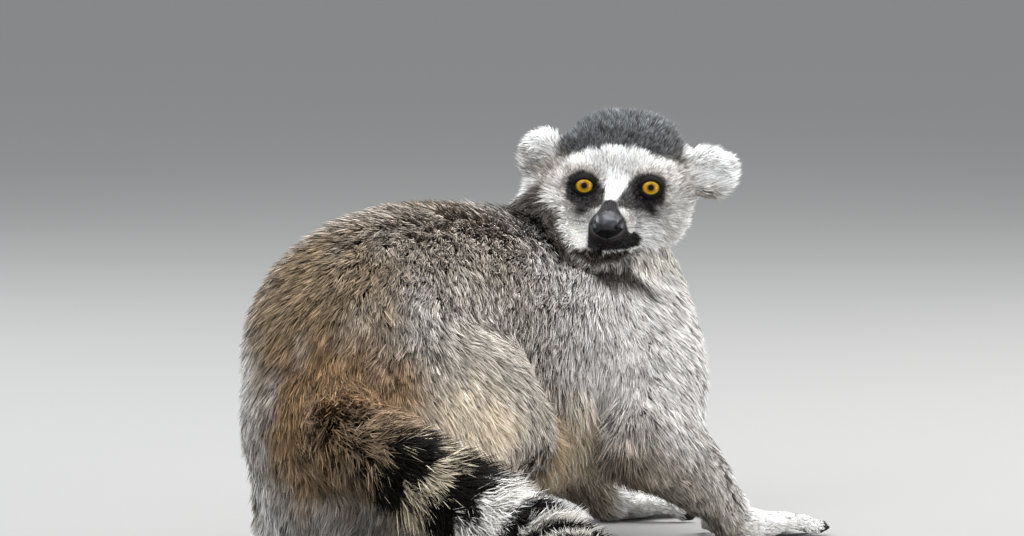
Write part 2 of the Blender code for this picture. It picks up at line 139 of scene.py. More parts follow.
world = bpy.data.worlds.new("studio")
scene.world = world
world.use_nodes = True
set_inputs(world.node_tree.nodes["Background"], Color=(0.92, 0.96, 1.0, 1), Strength=0.85)

UP = Vector((0, 0, 1))
softbox("overhead", AIM + UP * 1.5 - backward * 0.25 + rightward * 0.2, 1.3, 36)
softbox("rim_right", AIM + UP * 0.9 - backward * 1.1 + rightward * 1.5, 0.9, 36)
softbox("rim_left", AIM + UP * 0.7 - backward * 1.3 - rightward * 1.5, 0.9, 32, (0.9, 0.95, 1.0))
softbox("front", AIM + UP * 1.3 + backward * 1.5 - rightward * 0.6, 1.0, 24)
softbox("low_fill", AIM + backward * 0.9 - UP * 0.03 + rightward * 1.2, 0.5, 9)


# ------------------------------------------------------------------ the skin
# One closed skin under the coat, from the nose to the tip of the tail. The flesh
# solids are swollen until their thin cuts close, fused by a voxel remesh, smoothed
# over the body, and drawn in by the depth of the coat.

SKIN_VOXEL = 2.4 * MM
CUT_CLOSER = 0.4 * MM

flesh_nodes = sorted(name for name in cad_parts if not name.startswith("eye_"))
fused = bmesh.new()
for name in sorted(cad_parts):
    solid = bmesh.new()
    solid.from_mesh(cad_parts[name].data)
    bmesh.ops.remove_doubles(solid, verts=solid.verts, dist=1e-6)
    solid.normal_update()
    for vert in solid.verts:
        vert.co += vert.normal * CUT_CLOSER
    swollen = bpy.data.meshes.new("swollen")
    solid.to_mesh(swollen)
    solid.free()
    fused.from_mesh(swollen)
    bpy.data.meshes.remove(swollen)
rough_data = bpy.data.meshes.new("rough_skin")
fused.to_mesh(rough_data)
fused.free()
rough = add_object("rough_skin", rough_data)
remesh = rough.modifiers.new("fuse", "REMESH")
remesh.mode = "VOXEL"
remesh.voxel_size = SKIN_VOXEL
fused_data = bpy.data.meshes.new_from_object(
    rough.evaluated_get(bpy.context.evaluated_depsgraph_get())
)
bpy.data.objects.remove(rough)

# The head's own frame: x forward, y to the animal's left, z up, from a point just in
# front of the middle between the eyes.
FACE_YAW, FACE_PITCH, FACE_ROLL = (math.radians(angle) for angle in (-150, 3.5, -1.7))
EYE_RADIUS = 0.78 * CM
eye_places = {
    word: sum(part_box(f"eye_{word}"), Vector()) / 2 for word in ("right", "left")
}
face_turn = (
    Matrix.Rotation(FACE_YAW, 3, "Z")
    @ Matrix.Rotation(FACE_PITCH, 3, "Y")
    @ Matrix.Rotation(FACE_ROLL, 3, "X")
)
face_axes = np.array(face_turn)
between_eyes = (eye_places["right"] + eye_places["left"]) / 2
face_origin = np.array(between_eyes + face_turn.col[0] * 0.15 * CM)
# The eyeballs sit a little to the left of the solid ones and higher.
eye_places["right"] += face_turn @ Vector((0, 0.07, 0.09)) * CM
eye_places["left"] += face_turn @ Vector((0, 0.20, 0.125)) * CM


def head_coordinates(points):
    """Points in the head's frame, in centimetres."""
    return (points - face_origin) @ face_axes / CM


def ramp(values, low, high):
    """0 below low, 1 above high and smooth between; low may be the larger."""
    share = np.clip((values - low) / (high - low), 0, 1)
    return share * share * (3 - 2 * share)


def mound(points, centre, radii):
    """1 at the centre, fading smoothly to 0 past the radii."""
    return np.exp(-((points - np.array(centre)) ** 2 / np.array(radii) ** 2).sum(1))


def unit(rows):
    """Each row scaled to length 1."""
    return rows / np.maximum(np.linalg.norm(rows, axis=1, keepdims=True), 1e-12)


def laid_down(ways, normals):
    """Ways without what points along the normals."""
    return ways - (ways * normals).sum(1)[:, None] * normals


# The face needs finer faces for its lids, lips and nostrils than the body does, and
# the muzzle finer ones still.
fine = bmesh.new()
fine.from_mesh(fused_data)
bpy.data.meshes.remove(fused_data)
for reach_back, reach_wide in ((-1.3, 3.2), (1.3, 2.2)):
    centres = np.array([face.calc_center_median() for face in fine.faces])
    centres = head_coordinates(centres)
    wanted = (centres[:, 0] > reach_back) & (np.abs(centres[:, 1]) < reach_wide)
    wanted &= (centres[:, 2] > -4.2) & (centres[:, 2] < 2.2) & (centres[:, 0] < 5)
    fine.faces.ensure_lookup_table()
    edges = {edge for i in np.nonzero(wanted)[0] for edge in fine.faces[i].edges}
    bmesh.ops.subdivide_edges(fine, edges=list(edges), cuts=1, use_grid_fill=True)
bmesh.ops.triangulate(fine, faces=fine.faces)
bmesh.ops.recalc_face_normals(fine, faces=fine.faces)
fine.verts.index_update()
skin_points = np.array([vert.co for vert in fine.verts])
skin_faces = np.array([[vert.index for vert in face.verts] for face in fine.faces])
skin_edges = np.array([[vert.index for vert in edge.verts] for edge in fine.edges])
fine.free()
skin_size = len(skin_points)
skin_links = np.bincount(skin_edges.ravel(), minlength=skin_size).astype(float)


def around(values):
    """The mean of each skin point's neighbours."""
    first, second = skin_edges.T
    sums = [
        np.bincount(first, column[second], skin_size)
        + np.bincount(second, column[first], skin_size)
        for column in values.T
    ]
    return np.array(sums).T / skin_links[:, None]


def blur(values, passes, share=0.5):
    """Spreads values over the skin; share may differ from point to point."""
    for _ in range(passes):
        values = values + share * (around(values) - values)
    return values


def normals_of(points):
    corners = points[skin_faces]
    facing = np.cross(corners[:, 1] - corners[:, 0], corners[:, 2] - corners[:, 0])
    normals = np.zeros_like(points)
    for axis in range(3):
        for corner in range(3):
            normals[:, axis] += np.bincount(skin_faces[:, corner], facing[:, axis], skin_size)
    return unit(normals)


# Where the digits end: wrist or ankle and the way ahead, then for each digit how far
# ahead its root is, its spread in degrees and its length, in centimetres.
LIMB_ENDS = {
    "hand_right": ((22.0, -7.9, 1.6), (27.0, -8.2, 0.6)),
    "hand_left": ((25.4, 3.4, 1.6), (29.8, 2.4, 0.6)),
    "foot_right": ((-2.2, -5.9, 2.3), (6.6, -7.2, 0.6)),
    "foot_left": ((-2.2, 4.0, 2.3), (6.6, 5.8, 0.6)),
}
DIGITS = {
    "hand": ((2.6, -22, 2.7), (2.6, -7, 3.5), (2.6, 6, 3.8), (2.6, 19, 3.5), (0.9, -48, 2.9)),
    "foot": ((5.6, -20, 3.4), (5.6, -7, 4.3), (5.6, 5, 4.7), (5.6, 17, 4.5), (3.4, -42, 4.0)),
}
digit_tips = []  # (place in metres, way, reach in centimetres)
for name, (start, end) in LIMB_ENDS.items():
    sign = -1 if name.endswith("right") else 1
    ahead = Vector(end) - Vector(start)
    ahead.normalize()
    for root_ahead, spread, reach in DIGITS[name.split("_")[0]]:
        angle = math.radians(spread)
        way = ahead * math.cos(angle) + Vector((0, sign, 0)) * math.sin(angle)
        way.z = 0
        way.normalize()
        place = Vector(start) + ahead * root_ahead + way * reach
        place.y += sign * 2.4 * math.sin(angle)
        digit_tips.append((Vector((place.x, place.y, 0.34)) * CM, way, reach))
FAR = 9.0  # centimetres: nothing near


def between_digits(points):
    """1 in the gaps between fingers or toes, 0 on them and elsewhere."""
    gaps = np.full(len(points), FAR)
    for place, way, reach in digit_tips:
        out = (points - np.array(place)) / CM
        along, side = out @ np.array(way), np.abs(out @ np.array((-way.y, way.x, 0)))
        beside = (along > -0.62 * reach) & (along < 0.5)
        gaps = np.minimum(gaps, np.where(beside, side, FAR))
    return ramp(gaps, 0.25, 0.38) * (gaps < 0.9)


# Which solid each point belongs to, blurred so that the parts of the body blend.
solid_points, solid_faces, face_owner = [], [], []
for number, name in enumerate(flesh_nodes):
    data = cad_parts[name].data
    data.calc_loop_triangles()
    start = len(solid_points)
    solid_points += [vert.co.copy() for vert in data.vertices]
    for triangle in data.loop_triangles:
        solid_faces.append([start + index for index in triangle.vertices])
        face_owner.append(number)
solids = BVHTree.FromPolygons(solid_points, solid_faces)
owner = np.array([face_owner[solids.find_nearest(Vector(point))[2]] for point in skin_points])
belongs = np.eye(len(flesh_nodes))[owner]


def share_of(*words, within=None):
    """How much each point belongs to the nodes whose names start with these words."""
    columns = [i for i, name in enumerate(flesh_nodes) if name.startswith(words)]
    return (belongs if within is None else within)[:, columns].sum(1)


# The solids' facets are smoothed away, least on the head, ears, hands and feet.
smoothing = 1 - 0.55 * share_of("head", "nose") - 0.75 * share_of("ear")
smoothing = 0.5 * (smoothing - 0.8 * share_of("hand", "foot"))
belongs = blur(belongs, 12)
skin_points = blur(skin_points, 26, smoothing[:, None])
armpit = mound(skin_points / CM, (14.2, -7.4, 8.6), (2.6, 2.6, 2.8))
skin_points = blur(skin_points, 70, 0.5 * np.clip(1.3 * armpit, 0, 1)[:, None])

# The ears grow from their roots: name, side, height of the root, growth each way.
for name, sign, height, grown in (
    ("ear_right", -1, 0.95, (0.9, 0.78, 0.88)),
    ("ear_left", 1, 0.55, (0.9, 1.08, 0.78)),
):
    from_root = head_coordinates(skin_points) - np.array((-2.9, 3.0 * sign, height))
    moved = (from_root * (np.array(grown) - 1)) @ face_axes.T * CM
    skin_points = skin_points + moved * ramp(belongs[:, flesh_nodes.index(name)], 0.1, 0.7)[:, None]
skin_normals = unit(blur(normals_of(skin_points), 6))

# How deep, long, wide (mm), raised (degrees) and dense (per square mm) the coat is.
COAT = {
    "rump": (7.0, 12.5, 0.6, 30, 1.9),
    "belly": (6.5, 12.5, 0.6, 30, 1.6),
    "chest": (6.5, 11.0, 0.55, 25, 2.1),
    "neck": (6.5, 10.0, 0.55, 23, 2.3),
    "thigh": (6.0, 11.5, 0.6, 30, 1.9),
    "shank": (4.0, 8.5, 0.55, 28, 1.5),
    "foot": (1.2, 3.6, 0.45, 15, 1.8),
    "upper": (5.5, 10.0, 0.55, 27, 2.2),
    "forearm": (3.8, 8.5, 0.55, 27, 1.9),
    "hand": (1.2, 3.8, 0.45, 16, 2.4),
    "head": (4.0, 6.0, 0.45, 40, 3.2),
    "ear": (1.0, 8.5, 0.5, 36, 3.8),
    "nose": (0.3, 0.8, 0.3, 15, 0.0),
    "tail": (9.0, 17.0, 0.7, 36, 1.7),
}
table = np.array([COAT[name.split("_")[0]] for name in flesh_nodes], float)
depth, length, width, lift, density = (belongs @ table).T

head = head_coordinates(skin_points)
x, y, z = head.T
head_share = share_of("head", "nose")
muzzle = ramp(x, 0.3, 1.7) * head_share
eye_gaps = np.min(
    [
        np.linalg.norm(head - head_coordinates(np.array([place])), axis=1)
        for place in eye_places.values()
    ],
    axis=0,
)
near_eye = ramp(eye_gaps, 2.0, 0.9) * head_share
cheek = ramp(x, 0.2, -1.6) * ramp(z, 0.8, -0.8) * head_share
forehead = ramp(x, -2.8, -1.2) * ramp(z, 0.8, 1.6) * head_share
for values, at_muzzle, at_eye, at_cheek, at_forehead in (
    (depth, 0.5, 1.2, 5.5, 2.2),
    (length, 1.5, 2.6, 9.5, 3.6),
    (width, 0.3, 0.38, 0.55, 0.42),
    (lift, 12, 18, 28, 24),
    (density, 4.5, 5.5, 3.2, 4.8),
):
    values += cheek * (at_cheek - values)
    values += forehead * (at_forehead - values)
    values += near_eye * (at_eye - values)
    values += muzzle * (at_muzzle - values)
underside = share_of("belly") * ramp(skin_normals[:, 2], 0.1, -0.6)
depth = depth - 4.0 * underside
elbow = mound(skin_points / CM, (13.9, -6.4, 6.0), (2.4, 2.6, 2.4))
depth = np.maximum(depth - 4.0 * elbow, 0.5)
fringe = mound(skin_points / CM, (13.3, -4.5, 6.3), (2.6, 2.8, 1.8))
length = length * (1 + 1.0 * underside + 0.7 * elbow + 1.1 * fringe)
lift = lift + 25 * underside + 8 * elbow + 15 * fringe
density = density * (1 + 0.8 * fringe)
chin = ramp(x, -0.6, 0.6) * ramp(z, -2.2, -2.8) * head_share
length = length + chin * (2.2 - length)
fluffy = share_of("tail_1", "tail_2")
length, lift = length * (1 + 0.25 * fluffy), lift + 8 * fluffy
depth = blur(depth[:, None], 8)[:, 0]
skin_points = skin_points - skin_normals * (depth * MM)[:, None]

# The left half of the mouth's line, and the face's forms, in centimetres in the
# head's frame.
MOUTH = np.array([
    (2.7, 0, -2.98), (2.3, 0.5, -3.02), (1.8, 0.8, -3.04),
    (1.3, 1.2, -2.98), (0.8, 1.5, -2.82), (0.5, 1.7, -2.72),
])
FACE_FORMS = (  # how far out, whether on both sides, centre, radii
    (0.26, True, (-2.8, 2.1, 3.0), (2.6, 1.7, 1.7)),  # the crown's sides
    (-0.45, True, (1.3, 0, -3.5), (1.6, 1.9, 0.7)),  # below the jaw
    (0.24, True, (-0.3, 0, 1.9), (1.0, 2.0, 0.6)),  # the brow
    (0.34, False, (-2.8, 2.9, 2.6), (2.4, 1.2, 1.5)),  # the crown's left
    (-0.14, True, (-2.5, 0, 4.2), (2.5, 1.7, 1.2)),  # the top of the crown
    (0.42, False, (-1.5, 3.4, -2.5), (2.1, 1.7, 1.7)),  # the left cheek
    (0.14, True, (3.1, 0, -1.4), (0.7, 0.6, 0.36)),  # the nose pad
    (-0.10, True, (3.1, 0, -2.05), (0.7, 0.6, 0.22)),  # the dip below it
    (0.08, True, (2.2, 0.95, -2.1), (0.7, 0.5, 0.45)),  # the whisker pads
    (-0.30, True, (2.9, 0.58, -1.72), (0.8, 0.15, 0.16)),  # the nostrils
    (-0.24, True, (2.7, 0.74, -1.52), (0.7, 0.10, 0.15)),  # the slits above them
)


def folded_over(head):
    """Head coordinates with the right side laid over the left."""
    return np.column_stack([head[:, 0], np.abs(head[:, 1]), head[:, 2]])


def gap_to_line(points, line):
    """Each point's distance to a broken line."""
    gaps = np.full(len(points), np.inf)
    for start, end in zip(line[:-1], line[1:]):
        way = end - start
        share = np.clip((points - start) @ way / (way @ way), 0, 1)
        gaps = np.minimum(gaps, np.linalg.norm(points - start - share[:, None] * way, axis=1))
    return gaps


def shape_face(points):
    """How far each point moves out along its normal, in centimetres."""
    head = head_coordinates(points)
    x, folded = head[:, 0], folded_over(head)
    move = sum(
        far_out * mound(folded if both else head, centre, radii)
        for far_out, both, centre, radii in FACE_FORMS
    )
    # Beside the nose pad, then the groove from it to the lip.
    front = folded * (0, 1, 1)
    move -= 0.10 * mound(front, (0, 0.8, -1.55), (1, 0.14, 0.5)) * ramp(x, 1.9, 2.3)
    move -= 0.08 * mound(front, (0, 0, -2.25), (1, 0.07, 0.3)) * ramp(x, 2.2, 2.6)
    # The line of the mouth, the lips on both sides of it, and the hollow of the bridge.
    mouth_gap = gap_to_line(folded, MOUTH)
    move -= 0.13 * np.exp(-((mouth_gap / 0.085) ** 2))
    move += 0.04 * np.exp(-(((mouth_gap - 0.25) / 0.14) ** 2))
    return move - 0.12 * mound(folded, (0.9, 0.85, -0.35), (0.7, 0.35, 0.5))


skin_normals = normals_of(skin_points)
face_move = shape_face(skin_points) * ramp(head_share, 0.3, 0.8) * CM
skin_points = skin_points + skin_normals * face_move[:, None]

gaze = np.array(backward)  # both eyes look at whoever stands at the hip


def seen_from(place, points):
    """Points seen from an eye, in centimetres: offset, how far forward, how far off its axis."""
    out = (points - np.array(place)) / CM
    forward = out @ gaze
    return out, forward, np.linalg.norm(out - forward[:, None] * gaze, axis=1)


# Brow and cheek rise round each eyeball, so that it sits deep in the head.
for place in eye_places.values():
    _, forward, off_axis = seen_from(place, skin_points)
    around_eye = ramp(off_axis, 1.9, 1.2) * (forward > -1.4)
    rise = np.clip(0.54 - 0.9 * (off_axis - 0.7) - forward, 0, 0.7) * around_eye
    skin_points = skin_points + (rise * CM)[:, None] * gaze
    skin_points = blur(skin_points, 8, 0.5 * around_eye[:, None])

# Inside the opening of the lids the skin steps back behind the eyeball.
eye_clear = np.full(skin_size, FAR)  # how far each point is off an eye's axis
for place in eye_places.values():
    out, forward, off_axis = seen_from(place, skin_points)
    distance = np.linalg.norm(out, axis=1) * CM
    off_axis[(forward < -0.2) | (distance > 2.5 * CM)] = FAR
    eye_clear = np.minimum(eye_clear, off_axis)
    most = EYE_RADIUS + (-1.2 + 4.2 * ramp(off_axis, 0.56, 0.84)) * MM
    held = (off_axis < 1.0) & (distance > most) | (distance < EYE_RADIUS - 0.3 * MM)
    skin_points[held] = np.array(place) + unit(out[held]) * most[held, None]
density = density * ramp(eye_clear, 0.61, 0.68)
length = length * (1 - 0.35 * ramp(eye_clear, 1.0, 0.7))

# The digits swell at their bare tips and part from each other above the floor.
tip_mounds = [
    mound(skin_points / CM, place / CM + 0.2 * way, (0.7, 0.7, 0.7)) for place, way, _ in digit_tips
]
bare_digits = ramp(np.max(tip_mounds, axis=0), 0.15, 0.4)
parted = between_digits(skin_points) * share_of("hand", "foot")
swelling = (0.7 * bare_digits - 1.5 * parted) * MM
swelling *= ramp(skin_points[:, 2], 0.5 * MM, 2 * MM)
skin_points = skin_points + normals_of(skin_points) * blur(swelling[:, None], 2)
density = density * (1 - bare_digits)
length = length * (1 - 0.3 * parted) * (1 - 0.5 * bare_digits)
skin_normals = normals_of(skin_points)


# ------------------------------------------------------------------ the lids
# Each eyeball is held by a thin black shell of lid that hugs it from the rounded
# margin back into the socket. They are part of the skin's mesh.

LID_ROWS = (  # degrees past the margin, height over the eyeball in mm
    (-2, -0.1), (0, 0.4), (3, 0.85), (7, 1.1), (13, 0.9),
    (20, 0.95), (30, 0.8), (42, 0.4), (60, -0.2),
)
LID_STEPS = 64
OPENING_WIDE, OPENING_ABOVE, OPENING_BELOW = 0.52 * CM, 0.32 * CM, 0.36 * CM

gaze_left = np.cross(face_axes[:, 2], gaze)
gaze_left /= np.linalg.norm(gaze_left)
gaze_up = np.cross(gaze, gaze_left)


def between_rings(rings, steps, start=0):
    """The corners of each face between rings of points that have this many steps."""
    for row in range(rings - 1):
        for step in range(steps):
            a = start + row * steps + step
            b = start + row * steps + (step + 1) % steps
            yield a, b, b + steps, a + steps


lid_points, lid_faces = [], []
for word, place in eye_places.items():
    sign = 1 if word == "left" else -1
    start = len(lid_points)
    for past, height in LID_ROWS:
        for step in range(LID_STEPS):
            angle = 2 * math.pi * step / LID_STEPS
            # Almond shaped, with the inner corner drawn out and a little lower.
            across, rise = math.cos(angle), math.sin(angle)
            corner = max(0.0, -across * sign) ** 8
            reach_across = across * OPENING_WIDE * (1 + 0.16 * corner)
            high = OPENING_ABOVE if rise > 0 else OPENING_BELOW
            reach_up = rise * abs(rise) ** 0.35 * high - 0.06 * CM * corner
            reach = math.hypot(reach_across, reach_up)
            tilt = math.asin(min(0.98, reach / EYE_RADIUS)) + math.radians(past)
            side = (gaze_left * reach_across + gaze_up * reach_up) / reach
            way = gaze * math.cos(tilt) + side * math.sin(tilt)
            lid_points.append(np.array(place) + way * (EYE_RADIUS + height * MM))
    for a, b, c, d in between_rings(len(LID_ROWS), LID_STEPS, start):
        lid_faces += [(a, d, c), (a, c, b)]
lid_points = np.array(lid_points)


# ------------------------------------------------------------------ the markings
# One rule gives the coat's dark roots and pale tips, and the skin below, anywhere on
# the body: white face with black eye patches and muzzle, grey cap, salted grey limbs,
# brown back, rufous rump, cream belly, and a tail ringed in black and white. Painted
# shade darkens the cheeks, below the chin, the ears' folds, behind the right elbow, the
# left forearm and the gaps between the digits, and on the bare skin the nostrils, the
# mouth's line and the foot of the nose pad.

FUR = {  # (root, tip)
    "flank_grey": ((90, 80, 71), (188, 180, 172)),
    "haunch_grey": ((80, 72, 63), (180, 172, 162)),
    "shoulder_grey": ((120, 114, 110), (215, 211, 208)),
    "back_brown": ((56, 44, 34), (152, 139, 124)),
    "rump_warm": ((80, 75, 70), (172, 168, 163)),
    "rump_golden": ((54, 38, 22), (140, 120, 94)),
    "rump_rufous": ((58, 41, 24), (140, 111, 80)),
    "rump_yellow": ((66, 47, 27), (148, 120, 86)),
    "limb_brown": ((64, 54, 44), (164, 155, 143)),
    # Painted shade, for behind the right elbow and over the left forearm:
    "arm_shade": ((50, 41, 32), (134, 121, 106)),
    "cream": ((206, 182, 150), (248, 230, 206)),
    "white": ((216, 214, 210), (243, 242, 240)),
    "ear_white": ((236, 235, 233), (254, 254, 253)),
    "neck_dark": ((22, 18, 16), (68, 62, 57)),
    "cap_grey": ((5, 5, 5), (96, 98, 100)),
    "cap_dark": ((4, 4, 4), (58, 59, 61)),
    "throat": ((162, 157, 146), (212, 207, 198)),
    "eye_patch": ((20, 18, 19), (50, 48, 48)),
    # Grey of the eye patches' edges, also used as painted shade on the face, ears and digits:
    "grey_edge_and_shade": ((84, 77, 71), (160, 150, 140)),
    "muzzle_black": ((6, 6, 6), (22, 21, 22)),
    "ring_black": ((2, 2, 1), (14, 10, 7)),
    "ring_white": ((214, 206, 194), (253, 250, 245)),
    "ring_cream": ((124, 110, 88), (212, 200, 176)),
    "tail_root": ((62, 48, 36), (148, 127, 104)),
}
FUR = {name: np.array([linear(*root), linear(*tip)]) for name, (root, tip) in FUR.items()}

# Centre line of the tail, in centimetres, from inside the rump to beyond its tip.
TAIL_ROUTE = (
    (-2.8, -0.7, 9.2), (-5.4, -2.0, 8.7), (-6.4, -4.8, 7.8), (-5.9, -8.0, 6.4), (-4.8, -11.0, 4.7),
    (-4.2, -14.2, 3.0), (-5.4, -17.4, 2.2), (-9.0, -21.0, 2.15), (-13.2, -24.0, 2.15),
    (-17.6, -27.0, 2.1), (-22.6, -28.6, 2.0), (-27.6, -27.0, 1.85), (-31.2, -23.0, 1.7),
    (-33.2, -18.0, 1.55), (-34.4, -13.0, 1.5),
)
# Where the rings change along that line, in centimetres; black comes first. Past the
# root they are evenly wide.
RING_WIDE = 2.05
RING_EDGES = [8.1, 10.0, 11.6, 13.6, 15.9, 18.0]
RING_EDGES += [20.05 + RING_WIDE * ring for ring in range(19)]


def tail_line(per_span=12):
    """The tail's line as points in metres, with the length along it in centimetres."""
    rows = np.array(TAIL_ROUTE, float)
    rows = np.vstack([2 * rows[0] - rows[1], rows, 2 * rows[-1] - rows[-2]])
    points = []
    for a, b, c, d in zip(rows, rows[1:], rows[2:], rows[3:]):
        for t in np.linspace(0, 1, per_span, endpoint=False):
            points.append(
                0.5 * (2 * b + (c - a) * t + (2 * a - 5 * b + 4 * c - d) * t**2
                       + (3 * b - a - 3 * c + d) * t**3)
            )
    points = np.array(points)
    steps = np.linalg.norm(np.diff(points, axis=0), axis=1)
    return points * CM, np.concatenate([[0], np.cumsum(steps)])


tail_points, tail_lengths = tail_line()
tail_ways = unit(np.gradient(tail_points, axis=0))
tail_tree = KDTree(len(tail_points))
for number, point in enumerate(tail_points):
    tail_tree.insert(point, number)
tail_tree.balance()


def along_tail(points, wanted):
    """Length along the tail's line, in centimetres, for the wanted points."""
    places = np.zeros(len(points))
    for i in np.nonzero(wanted)[0]:
        number = tail_tree.find(points[i])[1]
        offset = (points[i] - tail_points[number]) @ tail_ways[number] / CM
        places[i] = tail_lengths[number] + offset
    return places


def uneven(points, size, seed):
    """A smooth random field from -1 to 1, with lumps of about this size."""
    waves = np.random.default_rng(seed)
    total = np.zeros(len(points))
    for _ in range(10):
        way = waves.normal(size=3)
        way *= 2 * math.pi / (size * waves.uniform(0.8, 2.4)) / np.linalg.norm(way)
        total += np.sin(points @ way + waves.uniform(0, 2 * math.pi))
    return np.clip(total / 4.5, -1, 1)


def shield_of(head):
    """1 on the black of the muzzle: narrow at the bridge, as wide as the mouth below."""
    x, y, z = head.T
    down = (0.35, 0.45, 1.0, 1.3, 1.6, 2.0, 2.3, 2.7)
    to_left = np.interp(-z, down, (0.0, 0.3, 0.64, 0.88, 1.0, 1.1, 1.3, 1.55))
    to_right = np.interp(-z, down, (0.0, 0.3, 0.64, 0.9, 1.06, 1.06, 1.05, 1.05))
    half = np.where(y > 0, to_left, to_right)
    shape = ramp(np.abs(y), half + 0.06, half - 0.08)
    shape *= ramp(x - np.interp(-z, (2.1, 2.6), (0.65, 0.3)), -0.2, 0.2)
    foot = -3.1 + 0.07 * (y - 0.25) ** 4
    return shape * ramp(z, foot, foot + 0.14) * ramp(z, -0.3, -0.45)


def coat_colours(points, shares):
    """Root and tip colours of the coat at points, as an array (points, 2, 3)."""
    head = head_coordinates(points)
    x, y, z = head.T
    wide = np.abs(y)
    cm = points / CM
    mottle = uneven(points, 1.6 * CM, 3)
    fine_mottle = uneven(points, 0.5 * CM, 4)

    def of(*words):
        return share_of(*words, within=shares)

    colours = np.tile(FUR["flank_grey"], (len(points), 1, 1))

    def paint(name, share):
        colours[:] += np.clip(share, 0, 1)[:, None, None] * (FUR[name] - colours)

    def patch(name, centre, radius, strength=1.0):
        near = np.exp(-(((cm - np.array(centre)) / radius) ** 2).sum(1))
        paint(name, strength * ramp(near * (1 + 0.35 * mottle), 0.06, 0.78))

    trunk = of("rump", "belly", "chest", "thigh")
    paint("haunch_grey", of("thigh"))
    paint("rump_warm", of("rump") * ramp(cm[:, 0], 3.5, -2.5))
    far_side = of("rump", "thigh_left") * ramp(cm[:, 1] + 0.6 * mottle, 0.0, 3.0)
    paint("shoulder_grey", 0.7 * far_side)
    paint("back_brown", 0.6 * trunk * ramp(cm[:, 2] + 0.8 * mottle, 13.5, 17.0))
    patch("rump_golden", (-4.4, 0.6, 15.5), (5.0, 5.0, 4.4), 0.95)
    patch("rump_rufous", (-6.2, -3.6, 10.4), (4.6, 4.6, 3.7), 0.95)
    patch("rump_yellow", (-8.0, -2.6, 6.6), (4.2, 5.2, 3.2), 0.85)
    arm = of("upper_arm", "chest", "belly", "neck")
    paint("shoulder_grey", arm * ramp(cm[:, 0] + 0.5 * mottle, 8.5, 14.5))
    paint("shoulder_grey", of("forearm"))
    arm = of("upper_arm", "forearm")
    limb = of("shank") + arm * ramp(cm[:, 2] + 0.9 * mottle, 8.0, 4.5)
    paint("limb_brown", limb * (0.9 - 0.4 * ramp(cm[:, 0] + 1.2 * cm[:, 2], 21, 25)))
    # Painted shade behind the right elbow and over the whole left forearm.
    paint("arm_shade", 0.9 * mound(cm, (13.9, -6.6, 4.6), (1.9, 2.6, 2.4)) * arm)
    paint("arm_shade", 0.9 * of("forearm_left"))
    under = of("belly", "chest", "rump") * ramp(cm[:, 2] + 0.8 * mottle, 9.6, 6.8)
    paint("cream", under * ramp(cm[:, 0], -1.5, 1.5))
    patch("cream", (0.4, -7.2, 8.0), (3.4, 3.0, 2.8), 0.7)
    paint("white", of("hand", "foot") * 0.9)
    # Painted shade: grey lines in the gaps between the fingers and toes.
    paint("grey_edge_and_shade", 0.75 * between_digits(points) * of("hand", "foot"))

    # Neck: dark over its back and right side, white at the throat.
    behind = cm[:, 2] + 0.38 * (cm[:, 0] - 15) + 0.5 * mottle
    forward = cm[:, 0] + 0.35 * (cm[:, 1] + 4)
    nape = ramp(behind, 14.4, 15.3) * ramp(cm[:, 0], 11.5, 13.5)
    nape *= 1 - ramp(forward, 17.8, 18.5) * ramp(cm[:, 1], 4.0, 1.0)
    paint("neck_dark", nape * of("neck", "chest", "belly", "upper_arm"))
    throat = ramp(forward, 17.9, 18.5) * ramp(cm[:, 1], 4.0, 1.0)
    paint("throat", of("neck", "chest") * throat * 0.95)

    # Head: white, with a grey cap that runs down the nape and in front of the ears.
    on_head = ramp(of("head", "nose", "ear"), 0.35, 0.7)
    paint("white", on_head)
    paint("ear_white", of("ear"))
    blaze = ramp(wide, 2.1, 1.1) * ramp(z, -0.6, 0.2) * ramp(x, -2.6, -1.6)
    paint("ear_white", 0.85 * blaze * on_head)
    # Painted shade: grey over the right side of the face below the eyes, on both cheeks (most on
    # the right), and beside the muzzle on the right.
    paint("grey_edge_and_shade", 0.34 * ramp(y, -0.9, -2.2) * ramp(z, 1.2, 0.0) * on_head)
    folded = folded_over(head)
    cheek_shade = mound(folded, (-1.0, 3.2, -1.5), (1.8, 1.0, 1.5))
    paint("grey_edge_and_shade", (0.45 + 0.2 * (y < 0)) * cheek_shade * on_head)
    paint("grey_edge_and_shade", 0.55 * mound(head, (0.4, -2.2, -2.0), (1.4, 0.9, 1.0)) * on_head)
    behind_cheek = ramp(x, -1.7, -2.4) * ramp(z, 1.2, 0.6) * ramp(y, 0.5, -0.5)
    beside_cheek = ramp(y, -3.3, -3.8) * ramp(z, 1.1, 0.5) * (wide < 7)
    behind_cheek = np.maximum(behind_cheek * on_head, beside_cheek * ramp(x, -4.5, -3.0))
    paint("neck_dark", behind_cheek * of("head", "neck") * ramp(of("ear"), 0.5, 0.2))
